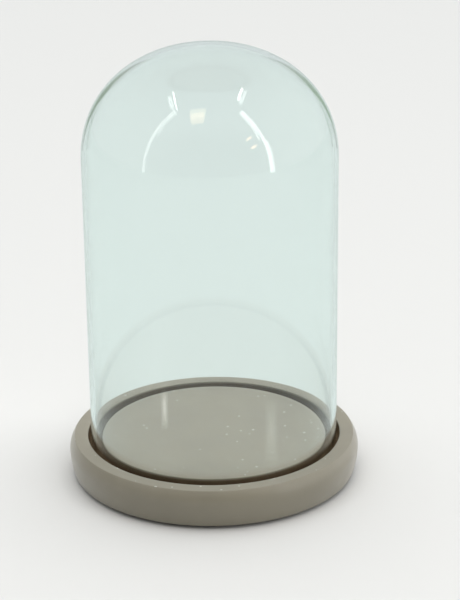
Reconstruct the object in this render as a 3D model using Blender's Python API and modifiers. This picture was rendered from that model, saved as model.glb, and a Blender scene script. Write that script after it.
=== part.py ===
"""Bell jar: a clear glass dome that lifts off a turned, lacquered board standing on felt pads.

Metres, +Z up. The origin is under the board's centre, on the surface that the pads stand on.
Every turned piece is a profile in the XZ plane, given from the axis outwards and down its outer
side, and spun about Z by a Screw modifier.
"""

import math

import bmesh
import bpy
from mathutils import Vector

OBJECT_NAME = "bell_jar_dome"

# Glass dome: a straight tube closed by a domed crown
GLASS_OUTER_RADIUS = 0.0850
GLASS_WALL = 0.0030
GLASS_HEIGHT = 0.2800  # from the lower edge to the top of the crown
CROWN_HEIGHT = 0.0752  # from the shoulder to the top of the crown
CROWN_SQUARENESS = 2.13  # exponent of the crown's superellipse: 2 is an ellipse, more is squarer
GLASS_EDGE_ROUNDING = 0.0012  # melted round where the tube was cut

# Board: one turned disc with a ring groove round a flush centre platform
BOARD_THICKNESS = 0.0250
GROOVE_DEPTH = 0.0080
GROOVE_OUTER_CLEARANCE = 0.0023  # between the glass and the groove's outer wall
GROOVE_INNER_CLEARANCE = 0.0046  # between the glass and the platform
RIM_FLAT_WIDTH = 0.0092  # flat top of the rim, outside the groove
TOP_EDGE_INSET = 0.0035  # how far the rim's top edge stands in from the widest line
FOOT_EDGE_INSET = 0.0027  # the same for the board's lower edge
WIDEST_BELOW_TOP = 0.0095
GROOVE_LIP_ROUNDING = 0.0005
GROOVE_FLOOR_ROUNDING = 0.0010
TOP_EDGE_ROUNDING = 0.0010
FOOT_EDGE_ROUNDING = 0.0015

# Stick-on felt pads under the board
PAD_COUNT = 4
PAD_RADIUS = 0.0100
PAD_THICKNESS = 0.0022
PAD_EDGE_MARGIN = 0.0120  # from the board's lower edge to the pad's
PAD_EDGE_BEVEL = 0.0004
PAD_FIRST_ANGLE = math.radians(45)

# Gap left between two pieces that touch
CONTACT_GAP = 0.0003

# Fineness of the meshes
TURN_STEPS = 72
CROWN_STEPS = 14
SIDE_STEPS = 5
ROUNDING_STEPS = 3
PAD_SIDES = 32

# Sizes and levels that follow from the above
board_bottom = PAD_THICKNESS + CONTACT_GAP
board_top = board_bottom + BOARD_THICKNESS
groove_floor = board_top - GROOVE_DEPTH
groove_outer_radius = GLASS_OUTER_RADIUS + GROOVE_OUTER_CLEARANCE
platform_radius = GLASS_OUTER_RADIUS - GLASS_WALL - GROOVE_INNER_CLEARANCE
rim_edge_radius = groove_outer_radius + RIM_FLAT_WIDTH
board_radius = rim_edge_radius + TOP_EDGE_INSET
foot_edge_radius = board_radius - FOOT_EDGE_INSET
glass_bottom = groove_floor + CONTACT_GAP
shoulder_level = GLASS_HEIGHT - CROWN_HEIGHT  # above the glass's lower edge
pad_ring_radius = foot_edge_radius - PAD_EDGE_MARGIN - PAD_RADIUS


def clear_scene():
    """Removes whatever the file holds, so that the part is built in an empty scene."""
    for obj in list(bpy.data.objects):
        bpy.data.objects.remove(obj, do_unlink=True)


def new_collection(name):
    """An empty collection linked to the scene."""
    collection = bpy.data.collections.new(name)
    bpy.context.scene.collection.children.link(collection)
    return collection


def new_material(name, colour, roughness, transmission=0.0):
    """A plain Principled material in that colour, with no metal in it."""
    material = bpy.data.materials.new(name)
    material.use_nodes = True
    shader = material.node_tree.nodes["Principled BSDF"]
    shader.inputs["Base Color"].default_value = (*colour, 1.0)
    shader.inputs["Roughness"].default_value = roughness
    shader.inputs["Metallic"].default_value = 0.0
    shader.inputs["Transmission Weight"].default_value = transmission
    return material


def new_empty(name, location, collection):
    """An empty that stands at a joint's or an assembly's reference point."""
    empty = bpy.data.objects.new(name, None)
    empty.empty_display_size = 0.02
    empty.location = location
    collection.objects.link(empty)
    return empty


def rounded(corners):
    """Points of an open outline whose corners are (radius, height, rounding), each rounded by an arc.

    A rounding is kept to just under half of the shorter side that meets at its corner.
    """
    points = [Vector(corners[0][:2])]
    for before, corner, after in zip(corners, corners[1:], corners[2:]):
        here = Vector(corner[:2])
        back = Vector(before[:2]) - here
        ahead = Vector(after[:2]) - here
        turn = math.pi - back.angle(ahead)
        if corner[2] == 0.0 or turn < math.radians(1):
            points.append(here)
            continue
        shorter = min(back.length, ahead.length)
        setback = min(corner[2] * math.tan(turn / 2), 0.49 * shorter)
        radius = setback / math.tan(turn / 2)
        start = here + back.normalized() * setback
        middle = here + (back.normalized() + ahead.normalized()).normalized() * (
            radius / math.cos(turn / 2)
        )
        spoke = start - middle
        side = 1.0 if back.cross(ahead) > 0 else -1.0
        for step in range(ROUNDING_STEPS + 1):
            angle = -side * turn * step / ROUNDING_STEPS
            swung = Vector(
                (
                    spoke.x * math.cos(angle) - spoke.y * math.sin(angle),
                    spoke.x * math.sin(angle) + spoke.y * math.cos(angle),
                )
            )
            points.append(middle + swung)
    points.append(Vector(corners[-1][:2]))
    return points


def turned(name, outline, material, parent, collection):
    """A solid of revolution about its own Z from an open outline of (radius, height) points."""
    mesh = bpy.data.meshes.new(name)
    vertices = [(point[0], 0.0, point[1]) for point in outline]
    edges = [(i, i + 1) for i in range(len(vertices) - 1)]
    mesh.from_pydata(vertices, edges, [])
    obj = bpy.data.objects.new(name, mesh)
    collection.objects.link(obj)
    obj.parent = parent
    obj.data.materials.append(material)
    spin = obj.modifiers.new("Turn", "SCREW")
    spin.axis = "Z"
    spin.angle = math.tau
    spin.steps = TURN_STEPS
    spin.render_steps = TURN_STEPS
    spin.use_merge_vertices = True
    spin.merge_threshold = 0.00001
    spin.use_smooth_shade = True
    return obj


def crown(radius, height):
    """Points of the crown from the shoulder, at that radius, up to the top on the axis."""
    power = 2.0 / CROWN_SQUARENESS
    points = []
    for step in range(CROWN_STEPS + 1):
        angle = 0.5 * math.pi * step / CROWN_STEPS
        across = 0.0 if step == CROWN_STEPS else radius * math.cos(angle) ** power
        points.append((across, shoulder_level + height * math.sin(angle) ** power, 0.0))
    return points


def make_glass_dome(parent, collection):
    """The dome: outer wall down to the rounded lower edge, then the inner wall back up to the crown."""
    inner_radius = GLASS_OUTER_RADIUS - GLASS_WALL
    outer = list(reversed(crown(GLASS_OUTER_RADIUS, CROWN_HEIGHT)))
    inner = crown(inner_radius, CROWN_HEIGHT - GLASS_WALL)
    lower_edge = [
        (GLASS_OUTER_RADIUS, 0.0, GLASS_EDGE_ROUNDING),
        (inner_radius, 0.0, GLASS_EDGE_ROUNDING),
    ]
    glass = new_material("clear_glass", (0.83, 0.93, 0.89), 0.02, transmission=1.0)
    return turned("glass_dome", rounded(outer + lower_edge + inner), glass, parent, collection)


def board_side():
    """Points down the board's barrel side, from the rim's top edge to just above the lower edge."""
    points = []
    for step in range(1, SIDE_STEPS + 1):
        share = 1.0 - step / SIDE_STEPS
        drop = WIDEST_BELOW_TOP * (1.0 - share)
        points.append((board_radius - TOP_EDGE_INSET * share**2, board_top - drop, 0.0))
    for step in range(1, SIDE_STEPS):
        share = step / SIDE_STEPS
        drop = WIDEST_BELOW_TOP + (BOARD_THICKNESS - WIDEST_BELOW_TOP) * share
        points.append((board_radius - FOOT_EDGE_INSET * share**2, board_top - drop, 0.0))
    return points


def make_base_board(parent, collection):
    """The board: platform, groove and rim on top, a barrel side and a flat underside."""
    top = [
        (0.0, board_top, 0.0),
        (platform_radius, board_top, GROOVE_LIP_ROUNDING),
        (platform_radius, groove_floor, GROOVE_FLOOR_ROUNDING),
        (groove_outer_radius, groove_floor, GROOVE_FLOOR_ROUNDING),
        (groove_outer_radius, board_top, GROOVE_LIP_ROUNDING),
        (rim_edge_radius, board_top, TOP_EDGE_ROUNDING),
    ]
    underside = [
        (foot_edge_radius, board_bottom, FOOT_EDGE_ROUNDING),
        (0.0, board_bottom, 0.0),
    ]
    lacquer = new_material("taupe_lacquer", (0.30, 0.28, 0.21), 0.45)
    outline = rounded(top + board_side() + underside)
    return turned("base_board", outline, lacquer, parent, collection)


def make_foot_pads(parent, collection):
    """Felt discs evenly spaced near the board's lower edge."""
    felt = new_material("grey_felt", (0.12, 0.11, 0.10), 0.95)
    mesh = bpy.data.meshes.new("foot_pad")
    shape = bmesh.new()
    bmesh.ops.create_cone(
        shape,
        cap_ends=True,
        segments=PAD_SIDES,
        radius1=PAD_RADIUS,
        radius2=PAD_RADIUS,
        depth=PAD_THICKNESS,
    )
    shape.to_mesh(mesh)
    shape.free()
    mesh.materials.append(felt)
    for number in range(PAD_COUNT):
        angle = PAD_FIRST_ANGLE + math.tau * number / PAD_COUNT
        pad = bpy.data.objects.new(f"foot_pad_{number + 1}", mesh)
        collection.objects.link(pad)
        pad.parent = parent
        pad.location = (
            pad_ring_radius * math.cos(angle),
            pad_ring_radius * math.sin(angle),
            PAD_THICKNESS / 2,
        )
        pad.rotation_euler.z = angle
        bevel = pad.modifiers.new("Soft edge", "BEVEL")
        bevel.width = PAD_EDGE_BEVEL
        bevel.segments = 1
        bevel.limit_method = "ANGLE"
    mesh.shade_smooth()
    mesh.set_sharp_from_angle(angle=math.radians(40))


def main():
    clear_scene()
    collection = new_collection(OBJECT_NAME)
    base = new_empty("base_centre", (0.0, 0.0, 0.0), collection)
    lift = new_empty("dome_lift_axis", (0.0, 0.0, glass_bottom), collection)
    lift.parent = base
    make_base_board(base, collection)
    make_glass_dome(lift, collection)
    make_foot_pads(base, collection)


main()
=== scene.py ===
"""Looks of a glass bell jar that stands in the ring groove of a turned, lacquered board.

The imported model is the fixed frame. Each sub-assembly is a class that turns its fine surfaces
round the frame's sizes and dresses them: the blown glass, the lacquered board and the felt pads.
Metres, +Z up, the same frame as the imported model.
"""

import logging
import math
from collections.abc import Callable, Iterable
from dataclasses import dataclass, field, replace
from enum import Enum
from typing import Any

import bmesh
import bpy
from mathutils import Matrix, Vector, noise

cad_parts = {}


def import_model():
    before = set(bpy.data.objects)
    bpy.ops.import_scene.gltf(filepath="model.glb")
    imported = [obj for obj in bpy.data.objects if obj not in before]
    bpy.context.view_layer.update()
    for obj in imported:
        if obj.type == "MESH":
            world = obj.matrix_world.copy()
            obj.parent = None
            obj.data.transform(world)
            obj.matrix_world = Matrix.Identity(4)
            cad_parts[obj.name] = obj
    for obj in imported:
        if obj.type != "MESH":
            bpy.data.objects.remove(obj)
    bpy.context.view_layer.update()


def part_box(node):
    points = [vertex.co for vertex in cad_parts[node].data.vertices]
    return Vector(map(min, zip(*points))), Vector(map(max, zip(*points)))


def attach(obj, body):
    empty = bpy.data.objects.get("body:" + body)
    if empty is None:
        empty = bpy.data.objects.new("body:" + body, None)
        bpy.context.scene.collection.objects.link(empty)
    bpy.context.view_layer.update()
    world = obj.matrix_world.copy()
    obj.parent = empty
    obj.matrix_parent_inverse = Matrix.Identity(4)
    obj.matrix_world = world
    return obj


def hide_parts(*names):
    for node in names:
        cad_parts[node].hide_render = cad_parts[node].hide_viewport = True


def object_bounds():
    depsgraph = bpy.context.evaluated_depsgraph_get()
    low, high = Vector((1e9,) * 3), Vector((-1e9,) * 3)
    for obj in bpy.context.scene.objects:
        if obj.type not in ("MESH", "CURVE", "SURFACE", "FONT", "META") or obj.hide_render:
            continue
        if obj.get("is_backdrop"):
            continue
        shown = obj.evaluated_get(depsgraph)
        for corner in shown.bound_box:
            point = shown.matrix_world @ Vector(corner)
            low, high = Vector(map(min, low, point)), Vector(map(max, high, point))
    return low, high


LOG = logging.getLogger("bell_jar")

Colour = tuple[float, float, float]
Place = tuple[float, float, float]
ProfilePoint = tuple[float, float]

ARC_SHARE = 0.49  # of the shorter side at a corner that its arc may take
STRAIGHT_ON = math.radians(1)  # a smaller turn gets no arc
ON_AXIS = 1e-7  # a smaller radius is on the axis
NOISE_USUAL_RANGE = (0.3, 0.7)  # smooth noise seldom leaves it, so it's stretched to 0 to 1
SPECK_CORE = 0.55  # share of a speck's radius that hides all that is under it
LAMP_POWER_SHARE = 4.0  # a lamp's power over its radiance and area
FEATHER_CORE = 0.25  # size of a feathered lamp's smallest layer, as a share of the lamp
LAYER_GAP = 0.0005  # between two layers of a feathered lamp


# ---------------------------------------------------------------- profiles and turned surfaces


@dataclass(frozen=True)
class Corner:
    """A corner of a turned outline: its radius and height, and the rounding of its arc."""

    radius: float
    height: float
    rounding: float = 0.0


def rounded(corners: list[Corner], steps: int) -> list[ProfilePoint]:
    """Rounds the corners of an open outline by arcs.

    Args:
        corners: The outline's corners in order. Its two ends are never rounded.
        steps: How many chords each arc is drawn with.

    Returns:
        The outline's points as (radius, height).
    """
    points = [(corners[0].radius, corners[0].height)]
    for before, corner, after in zip(corners, corners[1:], corners[2:]):
        here = Vector((corner.radius, corner.height))
        back = Vector((before.radius, before.height)) - here
        ahead = Vector((after.radius, after.height)) - here
        turn = math.pi - back.angle(ahead)
        if corner.rounding == 0.0 or turn < STRAIGHT_ON:
            points.append(tuple(here))
            continue
        longest = ARC_SHARE * min(back.length, ahead.length)
        setback = min(corner.rounding * math.tan(turn / 2), longest)
        start = here + back.normalized() * setback
        reach = setback / math.tan(turn / 2) / math.cos(turn / 2)
        middle = here + (back.normalized() + ahead.normalized()).normalized() * reach
        side = -1.0 if back.cross(ahead) > 0 else 1.0
        for step in range(steps + 1):
            spoke = Matrix.Rotation(side * turn * step / steps, 2) @ (start - middle)
            points.append(tuple(middle + spoke))
    points.append((corners[-1].radius, corners[-1].height))
    return points


def evenly(points: list[ProfilePoint], longest: float) -> list[ProfilePoint]:
    """Splits an outline's long stretches, so that rings lie at most that far apart.

    Args:
        points: The outline as (radius, height).
        longest: The longest stretch allowed, in metres.

    Returns:
        The outline with the points added.
    """
    split = [points[0]]
    for (r0, h0), (r1, h1) in zip(points, points[1:]):
        count = max(1, math.ceil(math.hypot(r1 - r0, h1 - h0) / longest))
        for step in range(1, count + 1):
            share = step / count
            split.append((r0 + (r1 - r0) * share, h0 + (h1 - h0) * share))
    return split


def put_in_scene(name: str, data: bpy.types.ID) -> bpy.types.Object:
    """Links a new object to the scene.

    Args:
        name: The object's name.
        data: Its mesh, lamp or camera.

    Returns:
        The object.
    """
    obj = bpy.data.objects.new(name, data)
    bpy.context.scene.collection.objects.link(obj)
    return obj


def turned(name: str, outline: list[ProfilePoint], sides: int) -> bpy.types.Object:
    """Turns an outline about the Z axis into a closed, smooth surface of quads.

    Args:
        name: The new object's name.
        outline: Points as (radius, height), from the axis outwards and down the outer side.
            A point on the axis becomes one vertex.
        sides: How many columns of faces the surface has.

    Returns:
        The object, linked to the scene.
    """
    shape = bmesh.new()
    rings = []
    for radius, height in outline:
        if radius < ON_AXIS:
            rings.append([shape.verts.new((0.0, 0.0, height))])
            continue
        turns = (math.tau * column / sides for column in range(sides))
        rings.append(
            [shape.verts.new((radius * math.cos(a), radius * math.sin(a), height)) for a in turns]
        )
    for upper, lower in zip(rings, rings[1:]):
        for column in range(sides):
            after = (column + 1) % sides
            loop = [
                upper[column % len(upper)],
                lower[column % len(lower)],
                lower[after % len(lower)],
                upper[after % len(upper)],
            ]
            shape.faces.new(list(dict.fromkeys(loop)))
    for face in shape.faces:
        face.smooth = True
    mesh = bpy.data.meshes.new(name)
    shape.to_mesh(mesh)
    shape.free()
    return put_in_scene(name, mesh)


def worked(obj: bpy.types.Object, push: Callable[[Vector, Vector], float]) -> None:
    """Moves each vertex along its normal, as the working of the real surface left it.

    Args:
        obj: The mesh object to change.
        push: Gives how far a vertex moves from its place and its normal, in metres.
    """
    shape = bmesh.new()
    shape.from_mesh(obj.data)
    shape.normal_update()
    moves = [push(vertex.co, vertex.normal) for vertex in shape.verts]
    for vertex, move in zip(shape.verts, moves):
        vertex.co += vertex.normal * move
    shape.to_mesh(obj.data)
    shape.free()


# ---------------------------------------------------------------- shader building


class Shading:
    """A thin helper that adds nodes to one node tree and joins them."""

    def __init__(self, tree: bpy.types.NodeTree) -> None:
        """Works on that node tree."""
        self.tree = tree

    def node(self, kind: str, **settings: Any) -> bpy.types.Node:
        """Adds a node.

        Args:
            kind: The node's type.
            settings: Values for its properties, by name.

        Returns:
            The node.
        """
        made = self.tree.nodes.new(kind)
        for name, value in settings.items():
            setattr(made, name, value)
        return made

    def join(self, source: bpy.types.NodeSocket, target: bpy.types.NodeSocket) -> None:
        """Links an output to an input."""
        self.tree.links.new(source, target)

    def feed(self, value: Any, target: bpy.types.NodeSocket) -> None:
        """Links a socket to an input, or sets the input to a plain value.

        Args:
            value: The socket or the plain value.
            target: The input.
        """
        if isinstance(value, bpy.types.NodeSocket):
            self.join(value, target)
        else:
            target.default_value = value

    def split(self, vector: bpy.types.NodeSocket) -> bpy.types.Node:
        """Splits a vector.

        Args:
            vector: The vector.

        Returns:
            The node, which has an X, a Y and a Z output.
        """
        made = self.node("ShaderNodeSeparateXYZ")
        self.join(vector, made.inputs["Vector"])
        return made

    def math(self, operation: str, *values: Any) -> bpy.types.NodeSocket:
        """Does arithmetic.

        Args:
            operation: The Math node's operation.
            values: Its inputs in order, as sockets or plain numbers.

        Returns:
            The result.
        """
        made = self.node("ShaderNodeMath", operation=operation)
        for value, target in zip(values, made.inputs):
            self.feed(value, target)
        return made.outputs[0]

    def vector(self, operation: str, *values: Any) -> bpy.types.Node:
        """Does arithmetic on vectors.

        Args:
            operation: The Vector Math node's operation.
            values: Its inputs in order, as sockets or plain vectors.

        Returns:
            The node, which has a Vector and a Value output.
        """
        made = self.node("ShaderNodeVectorMath", operation=operation)
        for value, target in zip(values, made.inputs):
            self.feed(value, target)
        return made

    def ramp(self, value: Any, low: Any, high: Any) -> bpy.types.NodeSocket:
        """Takes a value from 0 at one level to 1 at another, smoothly and clamped.

        Args:
            value: The value.
            low: The level that gives 0, which may be the higher one.
            high: The level that gives 1.

        Returns:
            The result.
        """
        made = self.node("ShaderNodeMapRange", interpolation_type="SMOOTHSTEP")
        for source, target in zip((value, low, high), made.inputs):
            self.feed(source, target)
        return made.outputs["Result"]

    def mix(self, share: Any, first: Any, second: Any) -> bpy.types.NodeSocket:
        """Mixes two colours.

        Args:
            share: How much of the second colour there is, from 0 to 1.
            first: The first colour, as a socket or a plain colour.
            second: The second colour, likewise.

        Returns:
            The mixed colour.
        """
        made = self.node("ShaderNodeMix", data_type="RGBA")
        self.feed(share, made.inputs["Factor"])
        for value, name in ((first, "A"), (second, "B")):
            target = next(s for s in made.inputs if s.name == name and s.type == "RGBA")
            self.feed((*value, 1.0) if isinstance(value, tuple) else value, target)
        return next(s for s in made.outputs if s.type == "RGBA")

    def noise(self, place: Any, scale: Any, detail: float) -> bpy.types.NodeSocket:
        """Adds smooth noise.

        Args:
            place: Where it is read.
            scale: How many swells it has in a metre.
            detail: How many finer layers it has.

        Returns:
            Its value, from 0 to 1.
        """
        made = self.node("ShaderNodeTexNoise")
        self.feed(place, made.inputs["Vector"])
        self.feed(scale, made.inputs["Scale"])
        made.inputs["Detail"].default_value = detail
        return made.outputs[0]

    def group(self, tree: bpy.types.NodeTree, **values: Any) -> bpy.types.Node:
        """Places a shared node group.

        Args:
            tree: The group.
            values: What feeds its inputs, by name.

        Returns:
            The node.
        """
        made = self.node("ShaderNodeGroup", node_tree=tree)
        for name, value in values.items():
            self.feed(value, made.inputs[name])
        return made

    def bump(
        self, height: bpy.types.NodeSocket, strength: float, distance: float
    ) -> bpy.types.NodeSocket:
        """Bends a surface's normal by a height map.

        Args:
            height: The height, from 0 to 1.
            strength: How strongly the normal follows it.
            distance: What a height of 1 measures, in metres.

        Returns:
            The bent normal.
        """
        made = self.node("ShaderNodeBump")
        made.inputs["Strength"].default_value = strength
        made.inputs["Distance"].default_value = distance
        self.join(height, made.inputs["Height"])
        return made.outputs["Normal"]


class Socket(Enum):
    """Kinds of socket that a shared node group has."""

    VALUE = "NodeSocketFloat"
    PLACE = "NodeSocketVector"


class SharedEffect:
    """A shader node group with named sockets, built once and placed in several materials."""

    def __init__(self, name: str, inputs: dict[str, Socket], outputs: dict[str, Socket]) -> None:
        """Makes the group and its sockets.

        Args:
            name: The group's name.
            inputs: Names and kinds of its inputs.
            outputs: Names and kinds of its outputs.
        """
        self.tree = bpy.data.node_groups.new(name, "ShaderNodeTree")
        for label, kind in inputs.items():
            self.tree.interface.new_socket(label, in_out="INPUT", socket_type=kind.value)
        for label, kind in outputs.items():
            self.tree.interface.new_socket(label, in_out="OUTPUT", socket_type=kind.value)
        self.shading = Shading(self.tree)
        self.entry = self.shading.node("NodeGroupInput")
        self.exit = self.shading.node("NodeGroupOutput")

    def given(self, name: str) -> bpy.types.NodeSocket:
        """The group's input of that name, as seen from inside."""
        return self.entry.outputs[name]

    def give(self, name: str, value: bpy.types.NodeSocket) -> None:
        """Puts a value out of the group under that name."""
        self.shading.join(value, self.exit.inputs[name])


def dust_specks() -> bpy.types.NodeTree:
    """Small round specks: at most one in each cell, of any size up to a largest one.

    Returns:
        A group that takes Place, Cells per metre, the Share of cells that have a speck and the
        largest Radius in cells, and puts out a Mask of the specks and a Tone that is one random
        value for each speck.
    """
    effect = SharedEffect(
        "Dust specks",
        {"Place": Socket.PLACE} | dict.fromkeys(("Cells", "Share", "Radius"), Socket.VALUE),
        {"Mask": Socket.VALUE, "Tone": Socket.VALUE},
    )
    shading = effect.shading
    cells = shading.node("ShaderNodeTexVoronoi", feature="F1")
    shading.join(effect.given("Place"), cells.inputs["Vector"])
    shading.join(effect.given("Cells"), cells.inputs["Scale"])
    split = shading.node("ShaderNodeSeparateColor")
    shading.join(cells.outputs["Color"], split.inputs["Color"])
    chosen = shading.math("LESS_THAN", split.outputs["Red"], effect.given("Share"))
    size = shading.math("MULTIPLY", effect.given("Radius"), split.outputs["Green"])
    core = shading.math("MULTIPLY", size, SPECK_CORE)
    inside = shading.math("SUBTRACT", 1.0, shading.ramp(cells.outputs["Distance"], core, size))
    effect.give("Mask", shading.math("MULTIPLY", chosen, inside))
    effect.give("Tone", split.outputs["Blue"])
    return effect.tree


def soft_mottle() -> bpy.types.NodeTree:
    """Cloudy unevenness, as in sprayed lacquer or pressed felt.

    Returns:
        A group that takes Place, Scale, Low and High, and puts out a Value that drifts between
        Low and High and a Height for a bump, from 0 to 1.
    """
    effect = SharedEffect(
        "Soft mottle",
        {"Place": Socket.PLACE} | dict.fromkeys(("Scale", "Low", "High"), Socket.VALUE),
        {"Value": Socket.VALUE, "Height": Socket.VALUE},
    )
    shading = effect.shading
    clouds = shading.noise(effect.given("Place"), effect.given("Scale"), detail=3.0)
    spread = shading.ramp(clouds, *NOISE_USUAL_RANGE)
    reach = shading.math("SUBTRACT", effect.given("High"), effect.given("Low"))
    effect.give("Value", shading.math("MULTIPLY_ADD", spread, reach, effect.given("Low")))
    effect.give("Height", clouds)
    return effect.tree


@dataclass
class SharedEffects:
    """The node groups that more than one finish uses."""

    specks: bpy.types.NodeTree = field(default_factory=dust_specks)
    mottle: bpy.types.NodeTree = field(default_factory=soft_mottle)


def blank_material(name: str) -> tuple[bpy.types.Material, Shading, bpy.types.Node]:
    """Makes a material with nothing but its shader.

    Args:
        name: The material's name.

    Returns:
        The material, a helper on its node tree, and its Principled shader.
    """
    material = bpy.data.materials.new(name)
    material.use_nodes = True
    shader = material.node_tree.nodes["Principled BSDF"]
    return material, Shading(material.node_tree), shader


@dataclass(frozen=True)
class Finish:
    """A finish's name and the settings that every finish has."""

    name: str
    roughness: float
    ior: float

    def start(self) -> tuple[bpy.types.Material, Shading, bpy.types.Node]:
        """Makes the material with the settings that are the same all over it.

        Returns:
            The material, a helper on its node tree, and its Principled shader.
        """
        material, shading, shader = blank_material(self.name)
        shader.inputs["Roughness"].default_value = self.roughness
        shader.inputs["IOR"].default_value = self.ior
        shader.inputs["Metallic"].default_value = 0.0
        return material, shading, shader


@dataclass(frozen=True)
class ClearGlass(Finish):
    """Soda-lime glass with the green cast of its iron, polished by the flame."""

    name: str = "bell_jar_glass"
    roughness: float = 0.0
    ior: float = 1.5
    tint: Colour = (0.985, 0.992, 0.989)
    absorbed_per_metre: Colour = (9.0, 4.5, 6.0)
    lint_cells: float = 70.0  # in a metre
    lint_share: float = 0.12
    lint_radius: float = 0.05
    lint_roughness: float = 0.35

    def material(self, effects: SharedEffects) -> bpy.types.Material:
        """Builds the glass.

        Args:
            effects: The shared node groups.

        Returns:
            The material.
        """
        material, shading, shader = self.start()
        shader.inputs["Transmission Weight"].default_value = 1.0
        shader.inputs["Base Color"].default_value = (*self.tint, 1.0)
        density = max(self.absorbed_per_metre)
        cast = shading.node("ShaderNodeVolumeAbsorption")
        cast.inputs["Density"].default_value = density
        kept = (1.0 - taken / density for taken in self.absorbed_per_metre)
        cast.inputs["Color"].default_value = (*kept, 1.0)
        output = material.node_tree.nodes["Material Output"]
        shading.join(cast.outputs["Volume"], output.inputs["Volume"])
        place = shading.node("ShaderNodeTexCoord").outputs["Object"]
        lint = shading.group(
            effects.specks,
            Place=place,
            Cells=self.lint_cells,
            Share=self.lint_share,
            Radius=self.lint_radius,
        )
        rough = shading.math("MULTIPLY", lint.outputs["Mask"], self.lint_roughness)
        shading.join(rough, shader.inputs["Roughness"])
        return material


@dataclass(frozen=True)
class SatinLacquer(Finish):
    """Taupe lacquer sprayed on fibreboard, with painted shade, darker and browner, down the groove
    and dust on top.
    """

    name: str = "taupe_satin_lacquer"
    roughness: float = 0.36
    ior: float = 1.60
    coat: Colour = (0.208, 0.190, 0.142)
    # painted shade: the darker, browner colour down the groove's walls
    groove_painted_shade: Colour = (0.086, 0.057, 0.031)
    pale_speck: Colour = (0.46, 0.45, 0.42)
    dark_speck: Colour = (0.09, 0.08, 0.07)
    dark_speck_share: float = 0.45
    speck_cells: float = 170.0  # in a metre
    speck_share: float = 0.75
    speck_radius: float = 0.20
    level_above: float = 0.7  # of the normal's Z, where dust stays lying
    cloud_scale: float = 28.0
    cloud_tones: tuple[float, float] = (0.94, 1.05)
    rub_scale: float = 60.0
    rub_roughness: tuple[float, float] = (-0.04, 0.05)
    groove_roughness: float = 0.34  # more than on the board's top
    groove_shade_from: float = 0.0004  # depth where the painted shade starts
    groove_shade_below: float = 0.0020  # depth where the painted shade is at its darkest
    groove_margin: float = 0.0006
    peel_scale: float = 900.0
    peel_height: float = 0.00002
    peel_strength: float = 0.35
    sheen: float = 0.30
    sheen_roughness: float = 0.45
    specular: float = 0.5

    def shaded_in_groove(self) -> "SatinLacquer":
        """A shaded copy of the same lacquer for the groove: no sheen and hardly a shine, as painted
        shade of its reflections.
        """
        return replace(self, name="groove_shaded_lacquer", sheen=0.0, specular=0.12)

    def in_groove(
        self, shading: Shading, apart: bpy.types.Node, top: float, groove: tuple[float, float]
    ) -> bpy.types.NodeSocket:
        """Marks the groove, more and more down its walls, where shade is painted and the lacquer is
        rougher.

        Args:
            shading: A helper on the material's node tree.
            apart: The node that splits the place into X, Y and Z.
            top: Height of the board's top.
            groove: The groove's inner and outer radius.

        Returns:
            The mask.
        """
        flat = shading.node("ShaderNodeCombineXYZ")
        shading.join(apart.outputs["X"], flat.inputs["X"])
        shading.join(apart.outputs["Y"], flat.inputs["Y"])
        radius = shading.vector("LENGTH", flat.outputs[0]).outputs["Value"]
        down = shading.ramp(apart.outputs["Z"], top - self.groove_shade_from, top - self.groove_shade_below)
        within = shading.math(
            "MULTIPLY",
            shading.math("GREATER_THAN", radius, groove[0] - self.groove_margin),
            shading.math("LESS_THAN", radius, groove[1] + self.groove_margin),
        )
        return shading.math("MULTIPLY", down, within)

    def dusted(
        self,
        shading: Shading,
        effects: SharedEffects,
        place: bpy.types.NodeSocket,
        colour: bpy.types.NodeSocket,
    ) -> bpy.types.NodeSocket:
        """Strews pale and dark dust on the surfaces that lie level.

        Args:
            shading: A helper on the material's node tree.
            effects: The shared node groups.
            place: The place on the board.
            colour: The colour under the dust.

        Returns:
            The colour with the dust on it.
        """
        specks = shading.group(
            effects.specks,
            Place=place,
            Cells=self.speck_cells,
            Share=self.speck_share,
            Radius=self.speck_radius,
        )
        facing = shading.split(shading.node("ShaderNodeNewGeometry").outputs["Normal"])
        lying = shading.math("GREATER_THAN", facing.outputs["Z"], self.level_above)
        shown = shading.math("MULTIPLY", specks.outputs["Mask"], lying)
        pale = shading.math("GREATER_THAN", specks.outputs["Tone"], self.dark_speck_share)
        tone = shading.mix(pale, self.dark_speck, self.pale_speck)
        return shading.mix(shown, colour, tone)

    def material(
        self, effects: SharedEffects, top: float, groove: tuple[float, float]
    ) -> bpy.types.Material:
        """Builds the lacquer for a board with a ring groove.

        Args:
            effects: The shared node groups.
            top: Height of the board's top.
            groove: The groove's inner and outer radius.

        Returns:
            The material.
        """
        material, shading, shader = self.start()
        shader.inputs["Sheen Weight"].default_value = self.sheen
        shader.inputs["Sheen Roughness"].default_value = self.sheen_roughness
        shader.inputs["Specular IOR Level"].default_value = self.specular
        place = shading.node("ShaderNodeTexCoord").outputs["Object"]
        apart = shading.split(place)
        # thin marks the groove, more and more down its walls, where shade is painted and the
        # lacquer is rougher
        thin = self.in_groove(shading, apart, top, groove)

        low, high = self.cloud_tones
        mottle = shading.group(
            effects.mottle, Place=place, Scale=self.cloud_scale, Low=low, High=high
        )
        tone = shading.vector("SCALE", (*self.coat,))
        shading.join(mottle.outputs["Value"], tone.inputs["Scale"])
        # Painted shade: darker and browner down the groove's walls
        colour = shading.mix(thin, tone.outputs["Vector"], self.groove_painted_shade)
        dusty = self.dusted(shading, effects, place, colour)
        shading.join(dusty, shader.inputs["Base Color"])

        low, high = self.rub_roughness
        rubbed = shading.group(
            effects.mottle, Place=place, Scale=self.rub_scale, Low=low, High=high
        )
        matt = shading.math("MULTIPLY_ADD", thin, self.groove_roughness, self.roughness)
        rough = shading.math("ADD", matt, rubbed.outputs["Value"])
        shading.join(rough, shader.inputs["Roughness"])

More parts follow.
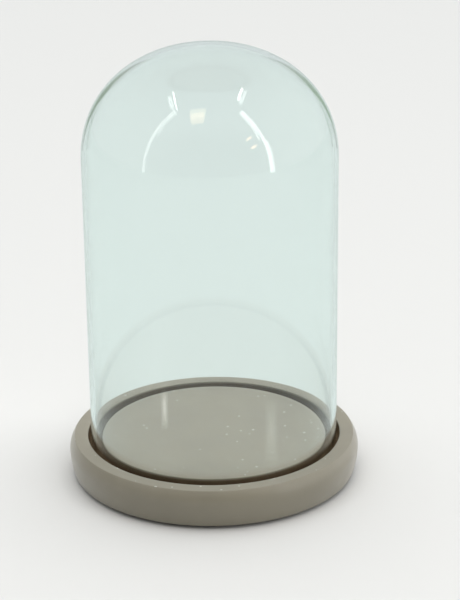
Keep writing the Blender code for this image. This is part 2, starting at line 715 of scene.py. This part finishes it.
        peel = shading.group(effects.mottle, Place=place, Scale=self.peel_scale)
        bent = shading.bump(peel.outputs["Height"], self.peel_strength, self.peel_height)
        shading.join(bent, shader.inputs["Normal"])
        return material


@dataclass(frozen=True)
class PressedFelt(Finish):
    """Dark grey wool felt, matted and slightly uneven."""

    name: str = "pressed_grey_felt"
    roughness: float = 0.96
    ior: float = 1.4
    dark: Colour = (0.055, 0.050, 0.046)
    light: Colour = (0.135, 0.125, 0.115)
    clump_scale: float = 420.0
    fibre_scale: float = 2600.0
    fibre_height: float = 0.0002
    fibre_strength: float = 0.8

    def material(self, effects: SharedEffects) -> bpy.types.Material:
        """Builds the felt.

        Args:
            effects: The shared node groups.

        Returns:
            The material.
        """
        material, shading, shader = self.start()
        place = shading.node("ShaderNodeTexCoord").outputs["Object"]
        span = {"Low": 0.0, "High": 1.0}
        clumps = shading.group(effects.mottle, Place=place, Scale=self.clump_scale, **span)
        fibres = shading.group(effects.mottle, Place=place, Scale=self.fibre_scale, **span)
        blend = shading.math("MULTIPLY", clumps.outputs["Value"], fibres.outputs["Value"])
        shading.join(shading.mix(blend, self.dark, self.light), shader.inputs["Base Color"])
        bent = shading.bump(fibres.outputs["Height"], self.fibre_strength, self.fibre_height)
        shading.join(bent, shader.inputs["Normal"])
        return material


# ---------------------------------------------------------------- the object's sub-assemblies


class Body(Enum):
    """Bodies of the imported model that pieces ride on."""

    BASE = "base"
    DOME = "dome"


class Slot(Enum):
    """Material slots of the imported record."""

    GLASS = "clear_glass"
    LACQUER = "taupe_lacquer"
    FELT = "grey_felt"


def stand_for(piece: bpy.types.Object, node: str, body: Body, slot: Slot) -> None:
    """Lets a fine piece stand for a CAD node and ride with its body.

    Args:
        piece: The fine piece, in place.
        node: The CAD node that it hides.
        body: The body that it moves with.
        slot: The record's material slot for its finish; not used.
    """
    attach(piece, body.value)
    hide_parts(node)
    LOG.info("%s stands for %s on body %s", piece.name, node, body.value)


@dataclass
class GlassDome:
    """The blown bell: a straight tube closed by a slightly squared crown."""

    node: str = "glass_dome"
    wall: float = 0.0030
    crown_height: float = 0.0752
    squareness: float = 2.13
    edge_rounding: float = 0.0012
    edge_steps: int = 8
    crown_steps: int = 72
    tube_ring_spacing: float = 0.004
    sides: int = 288
    ripple: float = 0.00003
    ripples_per_metre: Place = (26.0, 26.0, 14.0)

    def crown(self, radius: float, shoulder: float, height: float) -> list[Corner]:
        """Follows the crown's superellipse from the shoulder up to the axis.

        Args:
            radius: Radius at the shoulder.
            shoulder: Height of the shoulder.
            height: Rise from the shoulder to the top.

        Returns:
            Corners with no rounding, from the shoulder to the axis.
        """
        power = 2.0 / self.squareness
        corners = []
        for step in range(self.crown_steps + 1):
            angle = 0.5 * math.pi * step / self.crown_steps
            across = 0.0 if step == self.crown_steps else radius * math.cos(angle) ** power
            corners.append(Corner(across, shoulder + height * math.sin(angle) ** power))
        return corners

    def outline(self) -> list[ProfilePoint]:
        """Draws both walls, from the top of the crown down and back up inside.

        Returns:
            The outline's points.
        """
        low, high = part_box(self.node)
        radius = (high.x - low.x) / 2
        shoulder = high.z - self.crown_height
        inner = radius - self.wall
        outside = list(reversed(self.crown(radius, shoulder, self.crown_height)))
        inside = self.crown(inner, shoulder, self.crown_height - self.wall)
        foot = [
            Corner(radius, low.z, self.edge_rounding),
            Corner(inner, low.z, self.edge_rounding),
        ]
        return evenly(rounded(outside + foot + inside, self.edge_steps), self.tube_ring_spacing)

    def hand_ripple(self, place: Vector, normal: Vector) -> float:
        """How far blowing left the wall short of true there, always into the glass."""
        drift = noise.noise(place * Vector(self.ripples_per_metre) + normal)
        return -self.ripple * (0.5 + 0.5 * drift)

    def build(self, finish: ClearGlass, effects: SharedEffects) -> bpy.types.Object:
        """Makes the bell and dresses it.

        Args:
            finish: The glass.
            effects: The shared node groups.

        Returns:
            The piece.
        """
        bell = turned("blown_glass_bell", self.outline(), self.sides)
        worked(bell, self.hand_ripple)
        bell.data.materials.append(finish.material(effects))
        # Its shadow would be as dark as an opaque bell's, so the lamps shine in without one
        bell.visible_shadow = False
        stand_for(bell, self.node, Body.DOME, Slot.GLASS)
        return bell


@dataclass
class LacqueredBoard:
    """The turned board: centre platform, ring groove, rim and barrel side."""

    node: str = "base_board"
    groove_depth: float = 0.0080
    platform_radius: float = 0.0774
    groove_outer_radius: float = 0.0873
    rim_edge_radius: float = 0.0965
    foot_edge_radius: float = 0.0973
    widest_below_top: float = 0.0095
    lip_rounding: float = 0.0005
    floor_rounding: float = 0.0010
    top_edge_rounding: float = 0.0010
    foot_edge_rounding: float = 0.0015
    rounding_steps: int = 6
    side_steps: int = 18
    ring_spacing: float = 0.004
    sides: int = 288
    face_margin: float = 0.0001

    def side(self, radius: float, top: float, bottom: float) -> list[Corner]:
        """Follows the barrel side from under the top edge to above the foot edge.

        Args:
            radius: The widest radius.
            top: Height of the board's top.
            bottom: Height of its underside.

        Returns:
            Corners with no rounding.
        """
        widest = top - self.widest_below_top
        corners = []
        for step in range(1, self.side_steps + 1):
            share = 1.0 - step / self.side_steps
            inset = (radius - self.rim_edge_radius) * share**2
            corners.append(Corner(radius - inset, widest + (top - widest) * share))
        for step in range(1, self.side_steps):
            share = step / self.side_steps
            inset = (radius - self.foot_edge_radius) * share**2
            corners.append(Corner(radius - inset, widest - (widest - bottom) * share))
        return corners

    def outline(self) -> list[ProfilePoint]:
        """Draws the board from the middle of the platform out, down and back underneath.

        Returns:
            The outline's points.
        """
        low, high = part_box(self.node)
        radius, top, bottom = high.x, high.z, low.z
        floor = top - self.groove_depth
        upper = [
            Corner(0.0, top),
            Corner(self.platform_radius, top, self.lip_rounding),
            Corner(self.platform_radius, floor, self.floor_rounding),
            Corner(self.groove_outer_radius, floor, self.floor_rounding),
            Corner(self.groove_outer_radius, top, self.lip_rounding),
            Corner(self.rim_edge_radius, top, self.top_edge_rounding),
        ]
        lower = [
            Corner(self.foot_edge_radius, bottom, self.foot_edge_rounding),
            Corner(0.0, bottom),
        ]
        corners = upper + self.side(radius, top, bottom) + lower
        return evenly(rounded(corners, self.rounding_steps), self.ring_spacing)

    def give_groove_shaded_lacquer(self, board: bpy.types.Object, top: float) -> None:
        """Gives the faces inside the groove the shaded copy of the lacquer, with painted shade of
        its sheen and shine.

        Args:
            board: The board, with both coats on it.
            top: Height of its top.
        """
        highest = top - self.lip_rounding
        lowest = top - self.groove_depth - self.face_margin
        nearest = self.platform_radius - self.face_margin
        farthest = self.groove_outer_radius + self.face_margin
        for face in board.data.polygons:
            radius = math.hypot(face.center.x, face.center.y)
            sunk = highest > face.center.z > lowest
            face.material_index = int(sunk and nearest < radius < farthest)

    def build(self, finish: SatinLacquer, effects: SharedEffects) -> bpy.types.Object:
        """Makes the board and dresses it.

        Args:
            finish: The lacquer.
            effects: The shared node groups.

        Returns:
            The piece.
        """
        board = turned("lacquered_board", self.outline(), self.sides)
        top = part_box(self.node)[1].z
        groove = (self.platform_radius, self.groove_outer_radius)
        # The second coat is the groove's shaded copy: painted shade of its sheen and shine
        for coat in (finish, finish.shaded_in_groove()):
            board.data.materials.append(coat.material(effects, top, groove))
        self.give_groove_shaded_lacquer(board, top)
        stand_for(board, self.node, Body.BASE, Slot.LACQUER)
        return board


@dataclass
class FeltFeet:
    """The stick-on felt pads under the board."""

    nodes: tuple[str, ...] = ("foot_pad_1", "foot_pad_2", "foot_pad_3", "foot_pad_4")
    edge_rounding: float = 0.0004
    rounding_steps: int = 3
    ring_spacing: float = 0.0005
    sides: int = 120
    fuzz: float = 0.00022
    tufts_per_metre: float = 2400.0

    def fray(self, place: Vector, normal: Vector) -> float:
        """How far the felt's matted surface stands back there, more on its cut edge."""
        cut = 1.0 - abs(normal.z)
        return -self.fuzz * cut * (0.5 + 0.5 * noise.noise(place * self.tufts_per_metre))

    def build(self, finish: PressedFelt, effects: SharedEffects) -> list[bpy.types.Object]:
        """Makes the pads and dresses them.

        Args:
            finish: The felt.
            effects: The shared node groups.

        Returns:
            The pieces.
        """
        material = finish.material(effects)
        pads = []
        for node in self.nodes:
            low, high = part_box(node)
            radius, thickness = (high.x - low.x) / 2, high.z - low.z
            corners = [
                Corner(0.0, thickness),
                Corner(radius, thickness, self.edge_rounding),
                Corner(radius, 0.0, self.edge_rounding),
                Corner(0.0, 0.0),
            ]
            outline = evenly(rounded(corners, self.rounding_steps), self.ring_spacing)
            pad = turned(node.replace("foot_pad", "felt_pad"), outline, self.sides)
            pad.location = ((low.x + high.x) / 2, (low.y + high.y) / 2, low.z)
            worked(pad, self.fray)
            pad.data.materials.append(material)
            stand_for(pad, node, Body.BASE, Slot.FELT)
            pads.append(pad)
        return pads


# ---------------------------------------------------------------- studio


@dataclass(frozen=True)
class Softbox:
    """A rectangular lamp: where its long middle line runs, how wide it is and how bright.

    A grid in front of it can narrow its spread, it may face a point of its own, and it may show
    in glossy surfaces only, without lighting the matt ones.
    """

    name: str
    start: Place
    end: Place
    width: float
    radiance: float
    colour: Colour = (1.0, 1.0, 1.0)
    only_mirrored: bool = False
    spread: float = math.pi
    faces: Place | None = None

    def light(self, target: Vector) -> bpy.types.Object:
        """Places the lamp so that it faces the target.

        Args:
            target: The point that it faces, unless it has one of its own.

        Returns:
            The lamp's object.
        """
        start, end = Vector(self.start), Vector(self.end)
        target = Vector(self.faces) if self.faces else target
        along = end - start
        # A grid gathers a lamp's power ahead of it, so it takes less for the same radiance
        half = self.spread / 2
        needed = 1.0 - half / math.tan(half) if self.spread < math.pi else 1.0
        data = bpy.data.lights.new(self.name, "AREA")
        data.spread = self.spread
        data.shape = "RECTANGLE"
        data.size, data.size_y = self.width, along.length
        data.energy = LAMP_POWER_SHARE * self.radiance * self.width * along.length * needed
        data.color = self.colour
        middle = (start + end) / 2
        up = along.normalized()
        away = (middle - target).normalized()
        away = (away - up * away.dot(up)).normalized()
        across = up.cross(away)
        turn = Matrix((across, up, away)).transposed().to_4x4()
        lamp = put_in_scene(self.name, data)
        lamp.matrix_world = Matrix.Translation(middle) @ turn
        lamp.visible_camera = False
        lamp.visible_diffuse = not self.only_mirrored
        return lamp

    def slats(self, count: int, gap: float) -> Iterable["Softbox"]:
        """Cuts the lamp across into equal slats, as a louvre does.

        Args:
            count: How many slats it makes.
            gap: The share of each slat's pitch that stays dark.

        Yields:
            The slats, from the lamp's start to its end.
        """
        start, end = Vector(self.start), Vector(self.end)
        for number in range(count):
            first = start.lerp(end, (number + gap / 2) / count)
            last = start.lerp(end, (number + 1 - gap / 2) / count)
            name = f"{self.name}_{number + 1}"
            yield replace(self, name=name, start=tuple(first), end=tuple(last))

    def feathered(self, layers: int) -> Iterable["Softbox"]:
        """Softens the lamp's border by layers that shrink towards its middle.

        Args:
            layers: How many layers share its brightness.

        Yields:
            The layers, the widest first, each a little above the one before.
        """
        start, end = Vector(self.start), Vector(self.end)
        lift = Vector((0.0, 0.0, LAYER_GAP))
        for number in range(layers):
            kept = 1.0 - (1.0 - FEATHER_CORE) * number / (layers - 1)
            first = start.lerp(end, 0.5 - 0.5 * kept) + lift * number
            last = start.lerp(end, 0.5 + 0.5 * kept) + lift * number
            yield replace(
                self,
                name=f"{self.name}_{number + 1}",
                start=tuple(first),
                end=tuple(last),
                width=self.width * kept,
                radiance=self.radiance / layers,
            )


@dataclass(frozen=True)
class Room:
    """How bright the studio's walls and ceiling are: each side, behind, in front and above.

    The ceiling takes over from the walls between those two heights of the line of sight, 0 for
    level and 1 for straight up.
    """

    left: Colour
    right: Colour
    behind: Colour
    behind_camera: Colour
    overhead: Colour
    ceiling: tuple[float, float] = (0.30, 0.80)


@dataclass
class Studio:
    """A pale floor, the soft surroundings, the lamps and the camera."""

    floor_tone: Colour = (0.66, 0.66, 0.66)
    # painted tint and shade of the glass: the floor's tone where it is seen through the bell
    floor_painted_glass_tint: Colour = (0.572, 0.630, 0.625)
    floor_radius: float = 9.0
    floor_sides: int = 128
    floor_drop: float = 0.0001
    floor_roughness: float = 0.9
    floor_specular: float = 0.2
    lit: Room = Room(
        left=(0.42, 0.43, 0.42),
        right=(1.52, 1.53, 1.50),
        behind=(0.60, 0.61, 0.60),
        behind_camera=(0.25, 0.24, 0.23),
        overhead=(0.75, 0.76, 0.75),
    )
    skylight_from: Place = (0.0, 0.22, 0.975)
    skylight_border: tuple[float, float] = (0.80, 0.97)
    skylight: Colour = (2.98, 3.02, 2.98)
    mirrored: Room = Room(
        left=(0.82, 0.86, 0.86),
        right=(0.92, 0.96, 0.95),
        behind=(0.74, 0.80, 0.80),
        behind_camera=(0.44, 0.46, 0.48),
        overhead=(0.74, 0.77, 0.80),
        ceiling=(0.55, 0.97),
    )
    sides_meet: tuple[float, float] = (-0.9, 0.9)  # across, from the left wall to the right
    back_wall: tuple[float, float] = (0.45, 0.85)  # along, from the sides to the back wall
    front_wall: tuple[float, float] = (0.25, 0.85)  # the same towards the camera
    flag_tones: tuple[Colour, Colour] = ((0.15, 0.28, 0.13), (0.24, 0.41, 0.24))
    flag_paper: Colour = (0.60, 0.64, 0.64)
    flag_foot: tuple[float, float] = (0.32, 0.43)  # near and far edge, from the middle
    flag_head: tuple[float, float] = (0.21, 0.50)  # the same at the top
    flag_fades: tuple[float, float, float, float] = (0.0, 0.13, 0.22, 0.52)  # heights
    flag_distance: float = 0.85
    seen: Colour = (0.90, 0.90, 0.90)  # the backdrop, where the camera sees it directly
    overhead_height: float = 2.5
    strip_spread: float = math.radians(30)
    strip_layers: int = 5
    window_top: Place = (-0.31, -0.66, 2.4)
    window_foot: Place = (-0.43, -1.42, 2.4)
    window_width: float = 0.46
    pane_half_height: float = 0.13
    lantern_glow: Colour = (3.2, 2.0, 1.2)
    lantern_run: Place = (0.24, 0.14, 0.12)  # from its start to its end
    lantern_width: float = 0.12
    camera_place: Place = (0.0, -1.2526, 0.5969)
    camera_pitch: float = math.radians(20.698)
    camera_heading: float = math.radians(0.559)
    camera_roll: float = math.radians(-0.664)
    camera_lens: float = 118.49
    camera_sensor: float = 36.0

    def side_lamps(self) -> Iterable[Softbox]:
        """Tall tubes at both sides and a louvred box at the right.

        Yields:
            The lamps.
        """
        # Each lamp: its name, its two ends, its width and its radiance
        yield Softbox("left_tube", (-3.35, -1.95, 0.06), (-1.10, -0.62, 2.60), 0.05, 4.2)
        yield Softbox("left_inner_tube", (-1.78, -1.20, 1.70), (-1.05, -0.71, 2.52), 0.03, 4.0)
        yield Softbox("right_tube", (3.18, -2.27, 0.00), (1.06, -0.72, 2.56), 0.05, 8.0)
        yield Softbox("right_inner_tube", (1.82, -1.46, 1.60), (1.00, -0.81, 2.56), 0.03, 8.0)
        right_box = Softbox("right_box", (3.30, -2.16, 0.00), (1.95, -1.27, 1.40), 0.13, 4.6)
        yield from right_box.slats(count=13, gap=0.30)

    def overhead_lamps(self) -> Iterable[Softbox]:
        """A tube and a louvred box above at each side.

        Yields:
            The lamps.
        """
        z = self.overhead_height
        yield Softbox("left_overhead_tube", (-0.98, -0.53, z), (-0.90, 0.36, z), 0.04, 7.0)
        left_box = Softbox("left_overhead_box", (-1.12, -0.50, z), (-1.06, 0.22, z), 0.12, 3.2)
        yield from left_box.slats(count=9, gap=0.45)
        yield Softbox("right_overhead_tube", (0.79, -0.14, z), (0.82, 0.50, z), 0.06, 7.0)
        right_box = Softbox("right_overhead_box", (0.90, -0.34, z), (0.92, 0.42, z), 0.11, 3.2)
        yield from right_box.slats(count=10, gap=0.45)

    def low_strips(self) -> Iterable[Softbox]:
        """Small gridded strips before the glass, whose front wall mirrors them over the platform.

        Yields:
            The strips' layers.
        """
        left = Softbox(
            "low_left_strip",
            start=(-0.0718, -0.1168, 0.0391),
            end=(-0.0792, -0.1239, 0.0624),
            width=0.0105,
            radiance=2.6,
            faces=(-0.0322, -0.0787, 0.0770),
        )
        right = Softbox(
            "low_right_strip",
            start=(0.0761, -0.1027, 0.0116),
            end=(0.0914, -0.1135, 0.0532),
            width=0.0240,
            radiance=0.8,
            faces=(0.0380, -0.0760, 0.0682),
        )
        for strip in (left, right):
            gridded = replace(strip, only_mirrored=True, spread=self.strip_spread)
            yield from gridded.feathered(self.strip_layers)

    def window(self) -> Iterable[Softbox]:
        """A warm window of three panes, each with its own glow.

        Yields:
            The panes.
        """
        # Each pane: its name, how far down the window it is, and its glow
        panes = (
            ("upper", 0.16, (1.3, 1.05, 0.62)),
            ("middle", 0.47, (2.4, 1.75, 1.05)),
            ("lower", 0.82, (1.6, 1.08, 0.52)),
        )
        reach = Vector((0.0, self.pane_half_height, 0.0))
        for label, share, glow in panes:
            middle = Vector(self.window_top).lerp(Vector(self.window_foot), share)
            ends = (tuple(middle + reach), tuple(middle - reach))
            yield Softbox(f"{label}_window", *ends, self.window_width, 1.0, glow)

    def lanterns(self) -> Iterable[Softbox]:
        """Two small warm lanterns at the right, one above the other.

        Yields:
            The lanterns.
        """
        for label, start in (("high", (1.56, -2.00, 1.90)), ("low", (1.66, -2.00, 1.38))):
            ends = (start, tuple(Vector(start) + Vector(self.lantern_run)))
            yield Softbox(f"{label}_lantern", *ends, self.lantern_width, 1.0, self.lantern_glow)

    def lamps(self) -> Iterable[Softbox]:
        """All the lamps of the studio.

        Yields:
            The lamps.
        """
        yield from self.side_lamps()
        yield from self.overhead_lamps()
        yield from self.low_strips()
        yield from self.window()
        yield from self.lanterns()

    def in_glass(self, shading: Shading) -> bpy.types.NodeSocket:
        """Marks rays that clear glass has bent or mirrored, before any matt surface.

        Args:
            shading: A helper on the node tree that asks.

        Returns:
            The mask.
        """
        path = shading.node("ShaderNodeLightPath")
        unscattered = shading.math("LESS_THAN", path.outputs["Diffuse Depth"], 0.5)
        return shading.math("MULTIPLY", path.outputs["Is Singular Ray"], unscattered)

    def floor_paper(self) -> bpy.types.Material:
        """Builds the floor's pale paper, painted a darker mint where it is seen through the glass,
        as painted tint and shade of the glass.

        Returns:
            The material.
        """
        paper, shading, shader = blank_material("floor_paper")
        # Painted glass tint and shade: the floor is darker and mint where seen through the glass
        tone = shading.mix(self.in_glass(shading), self.floor_tone, self.floor_painted_glass_tint)
        shading.join(tone, shader.inputs["Base Color"])
        shader.inputs["Roughness"].default_value = self.floor_roughness
        shader.inputs["Specular IOR Level"].default_value = self.floor_specular
        return paper

    def floor(self) -> None:
        """Lays the floor just under the surface that the pads stand on."""
        shape = bmesh.new()
        bmesh.ops.create_circle(
            shape, cap_ends=True, segments=self.floor_sides, radius=self.floor_radius
        )
        mesh = bpy.data.meshes.new("studio_floor")
        shape.to_mesh(mesh)
        shape.free()
        floor = put_in_scene("studio_floor", mesh)
        floor.location.z = -self.floor_drop
        mesh.materials.append(self.floor_paper())
        floor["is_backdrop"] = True

    def sky(self, shading: Shading, apart: bpy.types.Node, room: Room) -> bpy.types.NodeSocket:
        """Mixes one room's walls and ceiling by the direction of sight.

        Args:
            shading: A helper on the world's node tree.
            apart: The node that splits the direction into X, Y and Z.
            room: The room.

        Returns:
            The room's colour in that direction.
        """
        across, along, height = (apart.outputs[axis] for axis in "XYZ")
        side = shading.ramp(across, *self.sides_meet)
        back = shading.ramp(along, *self.back_wall)
        front = shading.ramp(shading.math("MULTIPLY", along, -1.0), *self.front_wall)
        around = shading.mix(side, room.left, room.right)
        around = shading.mix(back, around, room.behind)
        around = shading.mix(front, around, room.behind_camera)
        return shading.mix(shading.ramp(height, *room.ceiling), around, room.overhead)

    def surroundings(self) -> None:
        """Surrounds the scene by one room for light, one for sharp rays and a plain backdrop."""
        world = bpy.data.worlds.new("soft_studio")
        bpy.context.scene.world = world
        world.use_nodes = True
        shading = Shading(world.node_tree)
        background = world.node_tree.nodes["Background"]
        direction = shading.node("ShaderNodeTexCoord").outputs["Generated"]
        apart = shading.split(direction)
        steep = shading.vector("DOT_PRODUCT", direction, self.skylight_from).outputs["Value"]
        opening = shading.ramp(steep, *self.skylight_border)
        lit = shading.mix(opening, self.sky(shading, apart, self.lit), self.skylight)
        mirrored = self.sky(shading, apart, self.mirrored)
        shown = shading.mix(self.in_glass(shading), lit, mirrored)
        path = shading.node("ShaderNodeLightPath")
        shown = shading.mix(path.outputs["Is Camera Ray"], shown, self.seen)
        shading.join(shown, background.inputs["Color"])

    def flag_paint(self, label: str, tone: Colour) -> bpy.types.Material:
        """Builds a card's paint, dark in the middle and fading to paper at both ends.

        Args:
            label: The card's side.
            tone: Its dark tone.

        Returns:
            The material.
        """
        paint, shading, shader = blank_material(f"{label}_flag_paint")
        shader.inputs["Roughness"].default_value = 1.0
        height = shading.split(shading.node("ShaderNodeTexCoord").outputs["Object"]).outputs["Z"]
        bottom, full, fading, top = self.flag_fades
        sooner = shading.ramp(height, bottom, full)
        later = shading.ramp(height, fading, top)
        dark = shading.math("SUBTRACT", sooner, later)
        shading.join(shading.mix(dark, self.flag_paper, tone), shader.inputs["Base Color"])
        return paint

    def flags(self) -> None:
        """Stands dark cards behind at both sides, which draw the crown's dark edge in the glass."""
        top = self.flag_fades[-1]
        for side, label, tone in zip((-1.0, 1.0), ("left", "right"), self.flag_tones):
            corners = [
                (side * self.flag_foot[0], 0.0, 0.0),
                (side * self.flag_foot[1], 0.0, 0.0),
                (side * self.flag_head[1], 0.0, top),
                (side * self.flag_head[0], 0.0, top),
            ]
            mesh = bpy.data.meshes.new(f"{label}_flag")
            mesh.from_pydata(corners, [], [(0, 1, 2, 3)])
            mesh.materials.append(self.flag_paint(label, tone))
            flag = put_in_scene(f"{label}_flag", mesh)
            flag.location.y = self.flag_distance
            for rays in ("camera", "diffuse", "glossy", "shadow"):
                setattr(flag, f"visible_{rays}", False)
            flag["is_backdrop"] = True

    def camera(self) -> None:
        """Sets up the camera a little above the jar, looking down at it."""
        data = bpy.data.cameras.new("studio_camera")
        data.lens = self.camera_lens
        data.sensor_width = self.camera_sensor
        camera = put_in_scene("studio_camera", data)
        heading = Matrix.Rotation(-self.camera_heading, 4, "Z")
        pitch = Matrix.Rotation(math.pi / 2 - self.camera_pitch, 4, "X")
        roll = Matrix.Rotation(self.camera_roll, 4, "Z")
        camera.matrix_world = Matrix.Translation(self.camera_place) @ heading @ pitch @ roll
        bpy.context.scene.camera = camera

    def build(self) -> None:
        """Sets up the whole studio."""
        bpy.context.scene.view_settings.view_transform = "Standard"
        crown = Vector((0.0, 0.0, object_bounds()[1].z))
        self.floor()
        self.surroundings()
        self.flags()
        for softbox in self.lamps():
            softbox.light(crown)
        self.camera()


def main() -> None:
    """Loads the frame, builds every sub-assembly and the studio."""
    logging.basicConfig(level=logging.INFO, format="%(name)s: %(message)s")
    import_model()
    effects = SharedEffects()
    GlassDome().build(ClearGlass(), effects)
    LacqueredBoard().build(SatinLacquer(), effects)
    FeltFeet().build(PressedFelt(), effects)
    Studio().build()


if __name__ == "__main__":
    main()
